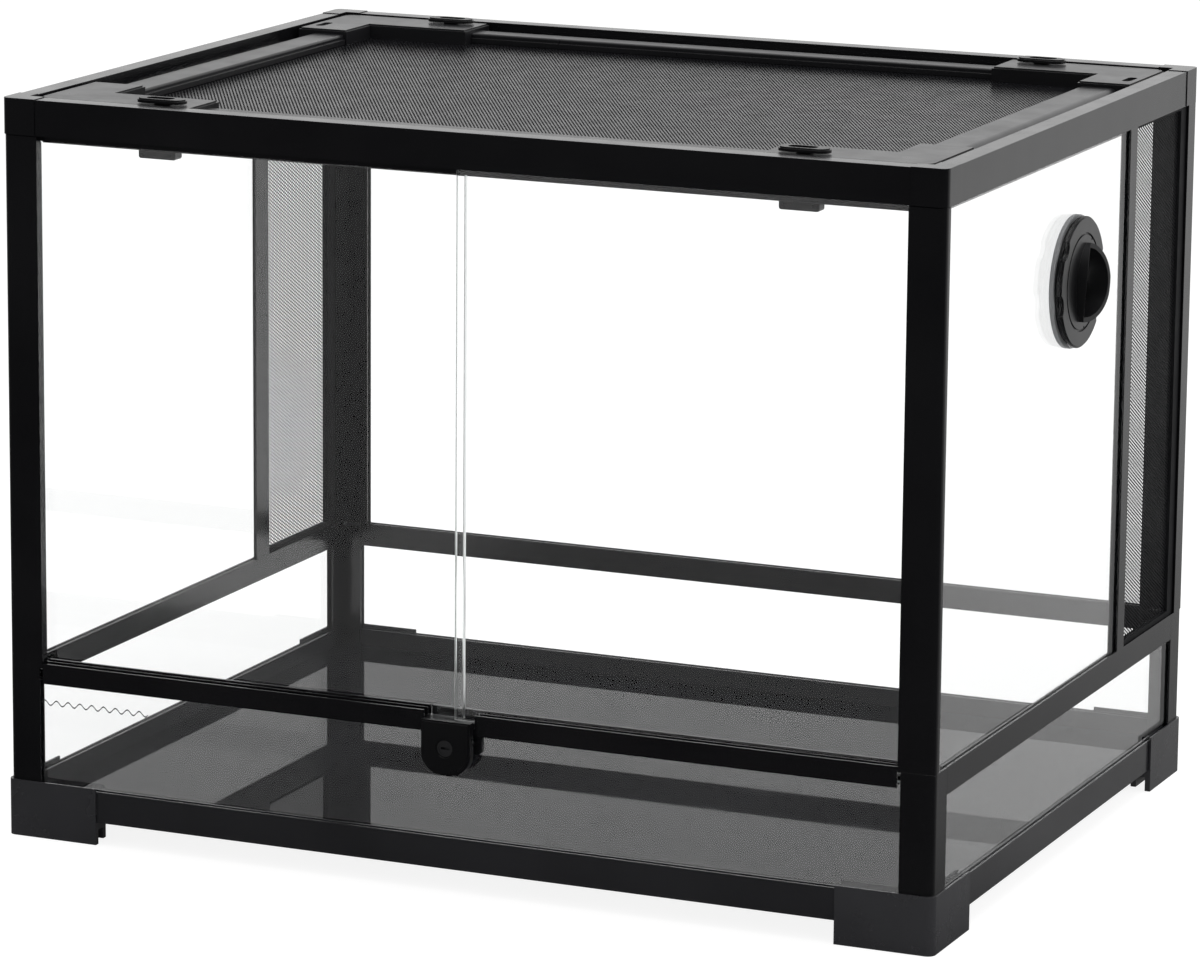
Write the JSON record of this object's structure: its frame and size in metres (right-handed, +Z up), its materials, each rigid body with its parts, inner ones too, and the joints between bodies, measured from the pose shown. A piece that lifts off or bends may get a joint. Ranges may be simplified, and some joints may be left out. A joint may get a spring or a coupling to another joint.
{
  "type": "reptile terrarium",
  "caption": "Glass reptile terrarium with sliding front doors, mesh side vents, a cable port, a key lock and a lift-off screen cover held by turn latches.",
  "frame": {"origin": "on the ground under the middle of the tank's frame, between the four feet", "axes": "+X to the right along the front, +Y to the back, +Z up; the sliding doors face -Y and the cable port is on the +X wall"},
  "size_m": [0.6241, 0.4646, 0.463],
  "materials": {
    "base_plastic": "satin",
    "frame_plastic": "satin",
    "cover_plastic": "satin",
    "latch_plastic": "satin",
    "lock_plastic": "satin",
    "lock_metal": "polished",
    "port_plastic": "satin",
    "clear_silicone": "satin",
    "black_mesh": "satin",
    "floor_glass": "polished",
    "pane_glass": "polished",
    "door_glass": "polished"
  },
  "bodies": {
    "cabinet": {"foot_front_left": "base_plastic", "foot_front_right": "base_plastic", "foot_back_left": "base_plastic", "foot_back_right": "base_plastic", "base_rail_front": "frame_plastic", "base_rail_back": "frame_plastic", "base_rail_left": "frame_plastic", "base_rail_right": "frame_plastic", "floor_glass": "floor_glass", "lower_glass_front": "pane_glass", "lower_glass_back": "pane_glass", "lower_glass_left": "pane_glass", "lower_glass_right": "pane_glass", "lower_post_front_left": "frame_plastic", "lower_post_front_right": "frame_plastic", "lower_post_back_left": "frame_plastic", "lower_post_back_right": "frame_plastic", "door_rail": "frame_plastic", "mid_rail_back": "frame_plastic", "mid_rail_left": "frame_plastic", "mid_rail_right": "frame_plastic", "upper_post_front_left": "frame_plastic", "upper_post_front_right": "frame_plastic", "upper_post_back_left": "frame_plastic", "upper_post_back_right": "frame_plastic", "back_glass": "pane_glass", "side_glass_left": "pane_glass", "side_glass_right": "pane_glass", "vent_mullion_left": "frame_plastic", "vent_mullion_right": "frame_plastic", "vent_mesh_left": "black_mesh", "vent_mesh_right": "black_mesh", "top_rail_front": "frame_plastic", "top_rail_back": "frame_plastic", "top_rail_left": "frame_plastic", "top_rail_right": "frame_plastic", "top_corner_front_left": "frame_plastic", "top_corner_front_right": "frame_plastic", "top_corner_back_left": "frame_plastic", "top_corner_back_right": "frame_plastic", "port_gasket": "clear_silicone", "port_body": "port_plastic", "port_clip": "port_plastic", "lock_case": "lock_plastic"},
    "door_left": {"door_left": "door_glass"},
    "door_right": {"door_right": "door_glass"},
    "lock_barrel": {"lock_barrel": "lock_metal"},
    "port_cap": {"port_cap": "port_plastic"},
    "cover": {"cover_rails_long": "cover_plastic", "cover_rails_side": "cover_plastic", "cover_corner_front_left": "cover_plastic", "cover_corner_front_right": "cover_plastic", "cover_corner_back_left": "cover_plastic", "cover_corner_back_right": "cover_plastic", "cover_mesh": "black_mesh"},
    "latch_front_left": {"latch_front_left": "latch_plastic"},
    "latch_front_right": {"latch_front_right": "latch_plastic"},
    "latch_back_left": {"latch_back_left": "latch_plastic"},
    "latch_back_right": {"latch_back_right": "latch_plastic"}
  },
  "joints": [
    {"name": "door_left_slide", "type": "slide", "parent": "cabinet", "child": "door_left", "axis": [1, 0, 0], "range_m": [0, 0.255]},
    {"name": "door_right_slide", "type": "slide", "parent": "cabinet", "child": "door_right", "axis": [-1, 0, 0], "range_m": [0, 0.255]},
    {"name": "lock_turn", "type": "hinge", "parent": "cabinet", "child": "lock_barrel", "pos_m": [-0.0045, -0.2315, 0.09], "axis": [0, 1, 0], "range_deg": [0, 90]},
    {"name": "port_turn", "type": "hinge", "parent": "cabinet", "child": "port_cap", "pos_m": [0.306, -0.0045, 0.36], "axis": [1, 0, 0], "range_deg": [0, 180]},
    {"name": "cover_lift", "type": "slide", "parent": "cabinet", "child": "cover", "axis": [0, 0, 1], "range_m": [0, 0.08]},
    {"name": "latch_front_left_turn", "type": "hinge", "parent": "cover", "child": "latch_front_left", "pos_m": [-0.2075, -0.204, 0.455], "axis": [0, 0, 1], "range_deg": [0, 90]},
    {"name": "latch_front_right_turn", "type": "hinge", "parent": "cover", "child": "latch_front_right", "pos_m": [0.2075, -0.204, 0.455], "axis": [0, 0, 1], "range_deg": [0, 90]},
    {"name": "latch_back_left_turn", "type": "hinge", "parent": "cover", "child": "latch_back_left", "pos_m": [-0.2075, 0.204, 0.455], "axis": [0, 0, 1], "range_deg": [0, 90]},
    {"name": "latch_back_right_turn", "type": "hinge", "parent": "cover", "child": "latch_back_right", "pos_m": [0.2075, 0.204, 0.455], "axis": [0, 0, 1], "range_deg": [0, 90]}
  ]
}
